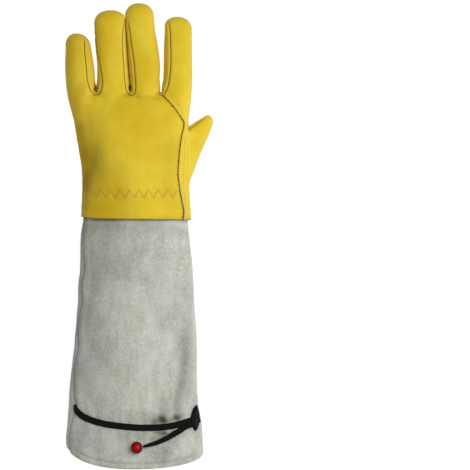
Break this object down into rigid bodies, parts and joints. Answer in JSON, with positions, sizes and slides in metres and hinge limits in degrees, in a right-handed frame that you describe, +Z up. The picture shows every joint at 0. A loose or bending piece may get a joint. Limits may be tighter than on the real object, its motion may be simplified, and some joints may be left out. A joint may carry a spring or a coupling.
{
  "type": "rose pruning glove",
  "caption": "Left-hand leather rose pruning glove lying palm down: yellow grain leather hand, long split-suede gauntlet and a black elastic draw strap with lock and bead.",
  "frame": {"origin": "bottom centre of the glove's box, on the surface it lies on", "axes": "+Y towards the fingertips, +X towards the thumb, +Z up out of the back of the hand"},
  "size_m": [0.1484, 0.4656, 0.0617],
  "materials": {
    "grain_leather": "smooth dyed cowhide, soft satin",
    "split_suede": "napped grey split cowhide, matt",
    "welt_leather": "raw cut edge, matt",
    "elastic": "ribbed woven elastic",
    "lock_plastic": "moulded, satin",
    "bead_plastic": "polished"
  },
  "bodies": {
    "root": {"back_panel": "grain_leather", "thumb_index_back": "grain_leather", "palm_panel": "grain_leather", "ring_front": "grain_leather", "middle_front": "grain_leather", "fourchette_little_ring": "grain_leather", "fourchette_ring_middle": "grain_leather", "fourchette_middle_index": "grain_leather", "finger_base_welt": "welt_leather", "gauntlet": "split_suede", "elastic_band": "elastic", "elastic_tail": "elastic", "cord_lock": "lock_plastic", "bead": "bead_plastic"}
  },
  "joints": []
}
